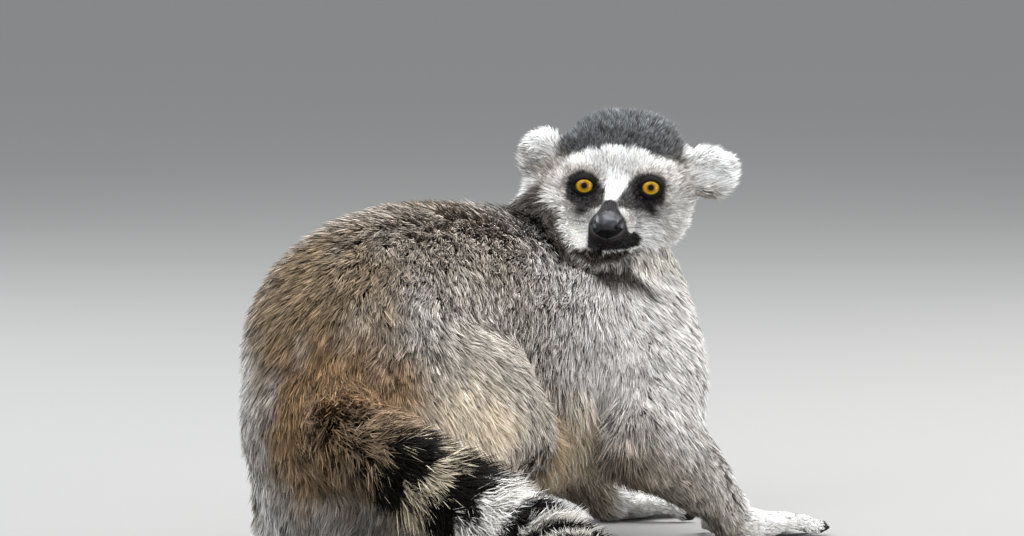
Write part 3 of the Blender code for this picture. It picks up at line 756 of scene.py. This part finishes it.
    # Below the chin: painted shade in grey on the left side, with the neck's own dark fur coming up
    # to it in the middle and on the right.
    below_chin = np.interp(y, (-4.0, -3.3, -1.55, -0.4, 1.0), (-1.2, -1.8, -2.85, -3.1, -3.1))
    under_chin = ramp(z + 0.1 * fine_mottle, below_chin + 0.12, below_chin - 0.12)
    paint("grey_edge_and_shade", 0.7 * under_chin * ramp(y, 3.0, 1.8) * on_head)
    paint("neck_dark", under_chin * ramp(y, 1.7, 0.9) * on_head)
    brow_line = 2.1 - 0.11 * wide**2 + 0.08 * fine_mottle
    cap = ramp(z, brow_line - 0.14, brow_line + 0.2) * ramp(wide, 3.5, 3.1)
    cap = np.maximum(cap, ramp(x, -3.4, -4.2) * ramp(z, -2.6, -1.4))
    cap *= on_head * (1 - ramp(of("ear"), 0.15, 0.5))
    paint("cap_grey", cap)
    paint("cap_dark", 0.7 * cap * ramp(z, brow_line + 1.3, brow_line + 0.2) * ramp(x, -4.0, -2.5))
    # The first row is the temples' grey; the last three are painted shade in the folds and hollows
    # of the ears.
    for strength, where, centre, radii in (  # temples, then the folds of the ears
        (0.75, folded, (-1.6, 3.2, 0.4), (1.4, 0.8, 1.1)),
        (0.9, head, (-2.1, -4.9, 1.4), (0.7, 0.35, 0.5)),
        (0.8, head, (-2.3, -4.2, 0.5), (1.1, 0.9, 0.6)),
        (1.0, head, (-2.1, 4.5, -0.35), (1.0, 1.0, 0.4)),
    ):
        paint("grey_edge_and_shade", strength * mound(where, centre, radii) * on_head)

    # Black round the eyes, drawn down beside the nose.
    across = wide - np.where(y < 0, 1.68, 1.95)  # out from the middle of each eye
    front = ramp(x, -2.5, -1.7) * on_head
    face = np.column_stack([np.zeros(len(x)), across, z])
    boxy = 2.6  # between a round patch, at 2, and a square one
    span = (np.abs(across / 0.86) ** boxy + np.abs((z - 0.06) / 0.86) ** boxy) ** (1 / boxy)
    span += 0.06 * fine_mottle
    paint("grey_edge_and_shade", 0.7 * ramp(span, 1.55, 1.0) * front)
    paint("grey_edge_and_shade", 0.5 * mound(face, (0, -0.85, -1.3), (1, 0.4, 0.5)) * front)
    paint("grey_edge_and_shade", 0.75 * mound(face, (0, 0.0, 0.8), (1, 0.9, 0.34)) * front)
    paint("eye_patch", 0.95 * mound(face, (0, -0.1, -1.05), (1, 0.72, 0.55)) * front)
    inward = wide - 0.2 + 0.06 * fine_mottle
    inner = ramp(1.1 * inward - 0.4 - z, -0.12, 0.22) * ramp(z + 0.62 + 0.36 * inward, -0.12, 0.12)
    inner *= ramp(inward, -0.05, 0.3) * ramp(across, 0.3, 0.0) * ramp(z, 0.95, 0.6)
    paint("eye_patch", 0.95 * inner * front)
    paint("eye_patch", ramp(span, 1.1, 0.85) * front)
    lips = gap_to_line(folded, MOUTH)
    paint("muzzle_black", np.maximum(shield_of(head), ramp(lips, 0.24, 0.14)) * on_head)

    # Tail: grey-brown at the root, then rings.
    tail = ramp(of("tail"), 0.3, 0.7)
    place = along_tail(points, tail > 0) + 0.2 * fine_mottle
    place = place + (0.8 * mottle + 0.7 * fine_mottle) * ramp(place, 16, 11)
    paint("tail_root", tail * ramp(place, 5.6, 6.8))
    ring = np.searchsorted(RING_EDGES, place)
    paint("ring_black", tail * (ring % 2 == 1))
    paint("ring_cream", tail * (ring == 2))
    paint("ring_white", tail * ((ring % 2 == 0) & (ring > 2)))
    return colours


# The skin below the fur is darker than it; the muzzle, nose and digits are bare.
body_colours = coat_colours(skin_points, belongs)
under_skin = 0.75 * body_colours[:, 0] + 0.15 * body_colours[:, 1] ** 2
head = head_coordinates(skin_points)
folded = folded_over(head)
x, y, z = head.T
on_head = share_of("head", "nose")
bare = shield_of(head) * on_head
pad_edge = np.abs(y) / 0.80 + np.abs(z + 1.55) ** 3 / 0.4  # about 1 at its edge
nose_pad = ramp(pad_edge, 1.12, 0.94) * ramp(x, 2.2, 2.5) * bare
nose_foot = nose_pad * ramp(z, -1.66, -1.86)
pad_rim = np.exp(-(((pad_edge - 1.14) / 0.07) ** 2)) * ramp(z, -1.6, -1.8) * bare
for share, rgb in (
    (bare, (36, 33, 35)),
    (nose_pad, (36, 36, 43)),
    # Painted shade: the lower part of the nose pad near black.
    (nose_foot, (9, 8, 9)),
    (0.6 * pad_rim, (92, 90, 92)),
    (bare_digits, (26, 23, 23)),
    # Painted shade: the nostrils and the mouth's line near black, in their hollows and crease.
    (mound(folded, (2.9, 0.64, -1.70), (0.9, 0.2, 0.22)) * on_head, (6, 5, 6)),  # nostrils
    (np.exp(-((gap_to_line(folded, MOUTH) / 0.1) ** 2)) * on_head, (10, 8, 9)),  # mouth
):
    under_skin += share[:, None] * (linear(*rgb) - under_skin)


def coloured_mesh(name, points, corners, starts, attribute, colours):
    """A smooth mesh: points, the corners of all faces, where each starts, and colours."""
    data = bpy.data.meshes.new(name)
    data.vertices.add(len(points))
    data.vertices.foreach_set("co", points.ravel())
    data.loops.add(len(corners))
    data.loops.foreach_set("vertex_index", corners)
    data.polygons.add(len(starts))
    data.polygons.foreach_set("loop_start", starts)
    data.update(calc_edges=True)
    data.shade_smooth()
    rows = np.column_stack([colours, np.ones(len(colours))])
    made = data.attributes.new(attribute, "FLOAT_COLOR", "POINT")
    made.data.foreach_set("color", rows.ravel())
    return data


# The skin's mesh with its lids, colours, how wet it looks, and its unwrap for the coat.
all_points = np.vstack([skin_points, lid_points])
all_faces = np.vstack([skin_faces, np.array(lid_faces) + len(skin_points)])
all_colours = np.vstack([under_skin, np.tile(linear(11, 9, 9), (len(lid_points), 1))])
starts = np.arange(0, all_faces.size, 3)
skin_data = coloured_mesh("skin", all_points, all_faces.ravel(), starts, "skin_colour", all_colours)
wet = 0.35 * bare + 0.45 * nose_pad - 0.65 * nose_foot + 0.4 * bare_digits
wet = np.concatenate([wet, np.full(len(lid_points), 0.2)])
skin_data.attributes.new("bare", "FLOAT", "POINT").data.foreach_set("value", wet)
skin = add_object("skin", skin_data)
bpy.context.view_layer.objects.active = skin
skin.select_set(True)
skin_data.uv_layers.new(name="OFBake")
bpy.ops.object.mode_set(mode="EDIT")
bpy.ops.mesh.select_all(action="SELECT")
bpy.ops.uv.smart_project(angle_limit=math.radians(66), island_margin=0.001)
bpy.ops.object.mode_set(mode="OBJECT")
skin_corner_uvs = np.empty(all_faces.size * 2, np.float32)
skin_data.uv_layers["OFBake"].data.foreach_get("uv", skin_corner_uvs)
skin_corner_uvs = skin_corner_uvs.reshape(-1, 3, 2)[: len(skin_faces)]


def add_node(tree, kind, **values):
    node = tree.nodes.new("ShaderNode" + kind)
    set_inputs(node, **values)
    return node


def attribute_node(tree, name):
    node = add_node(tree, "Attribute")
    node.attribute_name = name
    return node


def link_nodes(tree, *rows):
    """Each row is a node and its output's name, then a node and its input's name."""
    for source, output, target, entry in rows:
        tree.links.new(source.outputs[output], target.inputs[entry])


def blend_node(tree, kind, share):
    node = add_node(tree, "Mix")
    node.data_type, node.blend_type = "RGBA", kind
    node.inputs["Factor"].default_value = share
    return node


skin_leather, tree, shader = new_material("skin_and_leather")
colour, bareness = attribute_node(tree, "skin_colour"), attribute_node(tree, "bare")
coordinates = add_node(tree, "TexCoord")
grain = add_node(tree, "TexVoronoi", Scale=1400)
mottling = add_node(tree, "TexNoise", Scale=350)
mottled = blend_node(tree, "MULTIPLY", 0.35)
gloss = add_node(tree, "MapRange", To_Min=0.04, To_Max=0.5)
roughness = add_node(tree, "MapRange", To_Min=0.85, To_Max=0.28)
bump = add_node(tree, "Bump", Strength=0.35, Distance=0.2 * MM)
link_nodes(
    tree,
    (coordinates, "Object", grain, "Vector"),
    (coordinates, "Object", mottling, "Vector"),
    (colour, "Color", mottled, "A"),
    (mottling, "Color", mottled, "B"),
    (mottled, "Result", shader, "Base Color"),
    (bareness, "Fac", roughness, "Value"),
    (roughness, "Result", shader, "Roughness"),
    (bareness, "Fac", gloss, "Value"),
    (gloss, "Result", shader, "Specular IOR Level"),
    (grain, "Distance", bump, "Height"),
    (bump, "Normal", shader, "Normal"),
)
skin_data.materials.append(skin_leather)
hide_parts(*flesh_nodes)
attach(skin, "root")


# ------------------------------------------------------------------ the coat
# Woolly fur in thin pointed tufts, rooted all over the skin. They follow the lie of
# the coat from nose to tail and down the limbs, lean together in clumps, and run from
# dark roots to pale tips. Each group of body parts is one joined mesh.

LIE = {  # which way the coat runs, in world axes
    "rump": (-1.0, 0.0, -0.9), "belly": (-1.0, 0.0, -0.6), "chest": (-0.6, 0.0, -0.9),
    "neck": (-0.2, -0.1, -1.0),
    "thigh_right": (0.35, -0.2, -0.9), "thigh_left": (0.35, 0.2, -0.9),
    "shank_right": (-0.9, 0.0, -0.45), "shank_left": (-0.9, 0.0, -0.45),
    "foot_right": (1.0, -0.15, -0.1), "foot_left": (1.0, 0.2, -0.1),
    "upper_arm_right": (0.25, -0.45, -0.9), "upper_arm_left": (-0.3, 0.25, -0.9),
    "forearm_right": (0.45, -0.3, -0.85), "forearm_left": (0.5, -0.1, -0.85),
    "hand_right": (1.0, -0.1, -0.15), "hand_left": (1.0, -0.3, -0.15),
}
SIDE_SPREAD = {"rump": 0.45, "belly": 0.35, "chest": 0.2}

lie = np.zeros((skin_size, 3))
from_nose = head_coordinates(skin_points) - np.array((3.4, 0, -1.9))
head_back = unit(from_nose) @ face_axes.T
for number, name in enumerate(flesh_nodes):
    mine = owner == number
    word = name.split("_")[0]
    if word == "tail":
        nearest = [tail_tree.find(point)[1] for point in skin_points[mine]]
        lie[mine] = tail_ways[nearest]
    elif word in ("head", "nose"):
        lie[mine] = head_back[mine]
    elif word == "ear":
        outward = 0.9 if name == "ear_left" else -0.9
        lie[mine] = np.array(face_turn @ Vector((-0.1, outward, 0.35)))
    else:
        lie[mine] = np.array(LIE[name])
        middle = -1.0 if word == "rump" else -0.4
        side = np.tanh((skin_points[mine, 1] / CM - middle) / 1.5)
        lie[mine, 1] += SIDE_SPREAD.get(word, 0) * side
armpit = np.clip(1.5 * mound(skin_points / CM, (14.6, -5.2, 7.4), (3.4, 3.0, 3.2)), 0, 1)
lie += armpit[:, None] * (np.array((-0.3, -0.3, -1.0)) - lie)
lie = laid_down(blur(lie, 60), skin_normals)
for place in eye_places.values():  # outward round each eye
    out, forward, off_axis = seen_from(place, skin_points)
    near = ramp(off_axis, 1.3, 0.75) * share_of("head")
    lie += near[:, None] * (unit(out - forward[:, None] * gaze) - lie)
lie = unit(laid_down(blur(lie, 6), skin_normals))

corners = skin_points[skin_faces]
skin_areas = np.linalg.norm(
    np.cross(corners[:, 1] - corners[:, 0], corners[:, 2] - corners[:, 0]), axis=1
) / 2
ROOT_PATCH = 0.003  # how much of the unwrap each tuft takes
MOST_TUFTS = 66000

woolly_fur, tree, shader = new_material("woolly_fur")
link_nodes(tree, (attribute_node(tree, "coat_colour"), "Color", shader, "Base Color"))
set_inputs(shader, Roughness=0.75, Specular_IOR_Level=0.1, Sheen_Weight=0.03, Sheen_Roughness=0.5)


def grow_coat(name, words, seed, clump=3.6 * MM, pull=0.5, ruffle=15):
    """Tufts over the nodes whose names start with words, as one joined mesh."""
    dice = np.random.default_rng(seed)
    mine = np.array([node.startswith(words) for node in flesh_nodes])[owner]
    face_mine = mine[skin_faces].sum(1) >= 2
    weight = skin_areas * density[skin_faces].mean(1) * face_mine / MM**2
    count = int(min(weight.sum(), MOST_TUFTS))
    chosen = np.searchsorted(np.cumsum(weight / weight.sum()), dice.random(count))
    chosen = np.minimum(chosen, len(skin_faces) - 1)
    spots = dice.random((count, 2))
    spots[spots.sum(1) > 1] = 1 - spots[spots.sum(1) > 1]
    spots = np.column_stack([1 - spots.sum(1), spots])

    def there(values):
        return np.einsum("ij,ij...->i...", spots, values[skin_faces[chosen]])

    roots, normals, ways = there(skin_points), there(skin_normals), there(lie)
    shares, tall, broad, raised = there(belongs), there(length), there(width), there(lift)
    normals = unit(normals)
    ways = unit(laid_down(ways, normals))
    across = np.cross(normals, ways)

    # Each is turned, sized and raised a little by chance, and bends down near its middle.
    turn = np.radians(dice.normal(0, ruffle, count) + 16 * uneven(roots, 2.2 * CM, 11))
    ways = ways * np.cos(turn)[:, None] + across * np.sin(turn)[:, None]
    across = np.cross(normals, ways)
    tall = tall * MM * dice.uniform(0.7, 1.25, count)
    broad = broad * MM * dice.uniform(0.7, 1.3, count)
    raised = np.radians(raised * dice.uniform(0.6, 1.4, count))
    steep, flat = raised + 0.25, raised - 0.2
    start = ways * np.cos(steep)[:, None] + normals * np.sin(steep)[:, None]
    end = ways * np.cos(flat)[:, None] + normals * np.sin(flat)[:, None]
    bases = roots - normals * 0.3 * MM
    bends = bases + start * (0.45 * tall)[:, None]
    tips = bends + end * (0.55 * tall)[:, None]

    # The tufts of a clump lean towards the tip of the one at its middle.
    clumps = max(1, int(skin_areas[face_mine].sum() / clump**2))
    leaders = dice.choice(count, clumps, replace=False)
    tree = KDTree(len(leaders))
    for leader in leaders:
        tree.insert(roots[leader], int(leader))
    tree.balance()
    leader = np.array([tree.find(root)[1] for root in roots])
    lean = pull * dice.uniform(0.5, 1.2, count)[:, None]
    tips += (tips[leader] - tips) * lean
    bends += (bends[leader] - bends) * lean * 0.35

    twist = dice.normal(0, 0.6, count)
    blade = across * np.cos(twist)[:, None] + normals * np.sin(twist)[:, None]
    blade *= (broad / 2)[:, None]
    foot = 0.8 * blade
    points = np.stack([bases - foot, bases + foot, bends + blade, bends - blade, tips], 1)
    points[:, :, 2] = np.maximum(points[:, :, 2], 0.2 * MM)  # clear of the floor

    colours = coat_colours(roots, shares)
    dark = 1 - colours[:, 1].mean(1)  # pale fur is evener
    shade = 0.30 * dice.normal(size=count) + 0.24 * dice.normal(size=count)[leader]
    shade = np.clip(np.exp(shade * (0.25 + 1.1 * dark)), 0.3, 2.4)[:, None]
    root_colour = colours[:, 0] * np.clip(shade, 0.6, 1.3)
    tip_colour = np.clip(colours[:, 1] * shade, 0, 0.95)
    bend_colour = root_colour * 0.45 + tip_colour * 0.55
    colours = np.stack([root_colour, root_colour, bend_colour, bend_colour, tip_colour], 1)
    corners = np.arange(count)[:, None] * 5 + np.array([1, 0, 3, 2, 2, 3, 4])
    starts = np.arange(count)[:, None] * 7 + np.array([0, 4])  # a quad, then a triangle
    data = coloured_mesh(
        name, points.reshape(-1, 3), corners.ravel(), starts.ravel(),
        "coat_colour", colours.reshape(-1, 3),
    )
    # Light falls on a tuft much as on the body below it, so the coat looks soft.
    facing = normals + 0.32 * dice.normal(size=(count, 3)) - 0.25 * ways
    facing[:, 2] += 0.7 * ramp(normals[:, 2], 0.0, -0.8)
    data.normals_split_custom_set_from_vertices(np.repeat(unit(facing), 5, axis=0))
    uv_roots = np.einsum("ij,ijk->ik", spots, skin_corner_uvs[chosen])
    patch = np.array([(0, 0), (1, 0), (1, 0.5), (0, 0.5), (0, 0.5), (1, 0.5), (0.5, 1)])
    uvs = np.clip(uv_roots[:, None] + (patch - 0.5) * ROOT_PATCH, 0, 1)
    data.uv_layers.new(name="OFBake").data.foreach_set("uv", uvs.ravel())
    data.materials.append(woolly_fur)
    coat = add_object(name, data)
    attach(coat, "root")


grow_coat("coat_rump", ("rump",), 21)
grow_coat("coat_belly", ("belly",), 22)
grow_coat("coat_chest", ("chest", "neck"), 23)
grow_coat("coat_head", ("head",), 24, clump=2.0 * MM, pull=0.4, ruffle=8)
grow_coat("coat_ears", ("ear",), 25, clump=2.2 * MM, pull=0.45, ruffle=14)
grow_coat("coat_upper_arms", ("upper_arm",), 26, clump=3.2 * MM, pull=0.45)
grow_coat("coat_forearms", ("forearm", "hand"), 27, clump=3.2 * MM, pull=0.45)
grow_coat("coat_thighs", ("thigh",), 28)
grow_coat("coat_shanks", ("shank", "foot"), 29, clump=3.2 * MM)
grow_coat("coat_tail_root", ("tail_1", "tail_2", "tail_3"), 30, ruffle=26)
grow_coat("coat_tail_end", ("tail_4", "tail_5", "tail_6"), 31)


# ------------------------------------------------------------------ the eyes
# Amber eyeballs with a round black pupil, a dark ring round the iris and a clear wet
# cornea that bulges a little. Each is turned about its own axis of gaze.

EYE_ROWS = 28
IRIS_EDGE = math.radians(40.5)

eye_amber, tree, shader = new_material("eye_amber")
polar = attribute_node(tree, "iris_polar")
streaks = add_node(tree, "TexNoise", Scale=5, Detail=3)
apart = add_node(tree, "SeparateXYZ")
rings = add_node(tree, "ValToRGB")
rings.color_ramp.elements[0].position = 0.0
rings.color_ramp.elements[0].color = (0.002, 0.002, 0.002, 1)
rings.color_ramp.elements[1].color = (*linear(14, 9, 7), 1)
for position, rgb in (
    (0.22, (1, 1, 1)),
    (0.27, (72, 48, 10)),
    (0.38, (132, 96, 14)),
    (0.60, (178, 138, 24)),
    (0.78, (132, 94, 16)),
    (0.90, (26, 14, 7)),
):
    rings.color_ramp.elements.new(position).color = (*linear(*rgb), 1)
streaked = blend_node(tree, "OVERLAY", 0.55)
link_nodes(
    tree,
    (polar, "Vector", streaks, "Vector"),
    (polar, "Vector", apart, "Vector"),
    (apart, "Z", rings, "Fac"),
    (rings, "Color", streaked, "A"),
    (streaks, "Fac", streaked, "B"),
    (streaked, "Result", shader, "Base Color"),
)
set_inputs(shader, Roughness=0.25, Specular_IOR_Level=0, Coat_Weight=0.35, Coat_Roughness=0.02)

for word, place in eye_places.items():
    rows, polars = [], []
    for row in range(EYE_ROWS + 1):
        tilt = math.pi * (row / EYE_ROWS) ** 1.4
        bulge = 0.35 * MM * float(ramp(np.array(tilt), math.radians(50), math.radians(15)))
        for step in range(LID_STEPS):
            angle = 2 * math.pi * step / LID_STEPS
            side = gaze_left * math.cos(angle) + gaze_up * math.sin(angle)
            way = gaze * math.cos(tilt) + side * math.sin(tilt)
            rows.append(np.array(place) + way * (EYE_RADIUS + bulge))
            polars.append((3 * math.cos(angle), 3 * math.sin(angle), min(1.0, tilt / IRIS_EDGE)))
    ball = bmesh.new()
    polar_layer = ball.verts.layers.float_vector.new("iris_polar")
    verts = [ball.verts.new(point) for point in rows]
    for vert, value in zip(verts, polars):
        vert[polar_layer] = value
    for a, b, c, d in between_rings(EYE_ROWS + 1, LID_STEPS):
        ball.faces.new([verts[i] for i in (a, d, c, b)])
    bmesh.ops.remove_doubles(ball, verts=ball.verts, dist=1e-7)
    bmesh.ops.recalc_face_normals(ball, faces=ball.faces)
    eye_data = bpy.data.meshes.new(f"eyeball_{word}")
    ball.to_mesh(eye_data)
    ball.free()
    eye_data.shade_smooth()
    eye_data.materials.append(eye_amber)
    eye = add_object(f"eyeball_{word}", eye_data)
    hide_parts(f"eye_{word}")
    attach(eye, "root")


# ------------------------------------------------------------------ the nails
# A flat nail of black horn on the end of each finger and toe, where the digit is full.
# Each is an egg laid along the digit and sunk in the skin until its top half shows.

NAIL_HALVES = (2.4 * MM, 1.8 * MM, 0.9 * MM, 1)  # length, width, thickness

skin_tree = BVHTree.FromPolygons(skin_points.tolist(), skin_faces.tolist())
nail_mesh = bmesh.new()
for place, way, _ in digit_tips:
    for back in range(12):  # from the tip back to where the digit is full
        above = place - way * back * MM + UP * 15 * MM
        spot, normal, _, _ = skin_tree.ray_cast(above, -UP)
        if spot and spot.z > 2.5 * MM:
            break
    ahead = (way - normal * way.dot(normal)).normalized()
    turn = Matrix((ahead, normal.cross(ahead), normal)).transposed().to_4x4()
    centre = Matrix.Translation(spot - ahead * 0.6 * MM - normal * 0.2 * MM)
    shape = centre @ turn @ Matrix.Diagonal(NAIL_HALVES)
    bmesh.ops.create_uvsphere(nail_mesh, u_segments=14, v_segments=9, radius=1, matrix=shape)
nail_data = bpy.data.meshes.new("nails")
nail_mesh.to_mesh(nail_data)
nail_mesh.free()
nail_data.shade_smooth()
nail_data.materials.append(plain_material("nail_black", (22, 19, 18), 0.3))
nails = add_object("nails", nail_data)
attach(nails, "root")


# ------------------------------------------------------------------ whiskers
# A few thin dark bristles on each side of the muzzle and over each eye, three-sided
# and tapering, rooted in the skin and swept back.

WHISKER_RINGS, WHISKER_SIDES = 5, 3
WHISKER_THICK = 0.08 * MM
WHISKER_DROOP = 0.12  # of its reach

dice = np.random.default_rng(41)
bristles = []  # root and way in the head's frame, reach in centimetres
for sign in (-1, 1):
    for row in range(3):
        way = (-0.35, 1.0 * sign, 0.05 - 0.25 * row)
        for along in range(4):
            root = (2.4 - 0.4 * along, 0.9 * sign, -1.75 - 0.28 * row)
            bristles.append((root, way, 2.2 + 0.2 * along))
    for along in range(3):
        root = (-0.2, (1.2 + 0.35 * along) * sign, 1.3)
        bristles.append((root, (0.25, 0.35 * sign, 1.0), 1.3))
whisker_points, whisker_faces = [], []
for root, way, reach in bristles:
    root = Vector(face_origin + np.array(root) @ face_axes.T * CM)
    near, normal = (np.array(found) for found in skin_tree.find_nearest(root)[:2])
    way = np.array(way) + dice.normal(0, 0.12, 3)
    way = way / np.linalg.norm(way) @ face_axes.T + 0.35 * normal
    side = np.cross(way, (0.3, 0.2, 1.0))
    side /= np.linalg.norm(side)
    other = np.cross(way, side)
    start = len(whisker_points)
    for share in np.arange(WHISKER_RINGS) / WHISKER_RINGS:
        middle = near - 0.4 * MM * normal + way * reach * CM * share
        middle[2] -= WHISKER_DROOP * reach * CM * share**2
        for angle in np.arange(WHISKER_SIDES) * 2 * math.pi / WHISKER_SIDES:
            out = side * math.cos(angle) + other * math.sin(angle)
            whisker_points.append(middle + WHISKER_THICK * (1 - share) * out)
    tip = near + way * reach * CM
    tip[2] -= WHISKER_DROOP * reach * CM
    whisker_points.append(tip)
    whisker_faces += between_rings(WHISKER_RINGS, WHISKER_SIDES, start)
    end = len(whisker_points) - 1
    last = end - WHISKER_SIDES
    for turn in range(WHISKER_SIDES):
        whisker_faces.append((last + turn, last + (turn + 1) % WHISKER_SIDES, end))
    whisker_faces.append((start + 2, start + 1, start))
whisker_data = bpy.data.meshes.new("whiskers")
whisker_data.from_pydata([tuple(point) for point in whisker_points], [], whisker_faces)
whisker_data.materials.append(plain_material("whisker_black", (30, 27, 26), 0.5))
whiskers = add_object("whiskers", whisker_data)
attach(whiskers, "root")
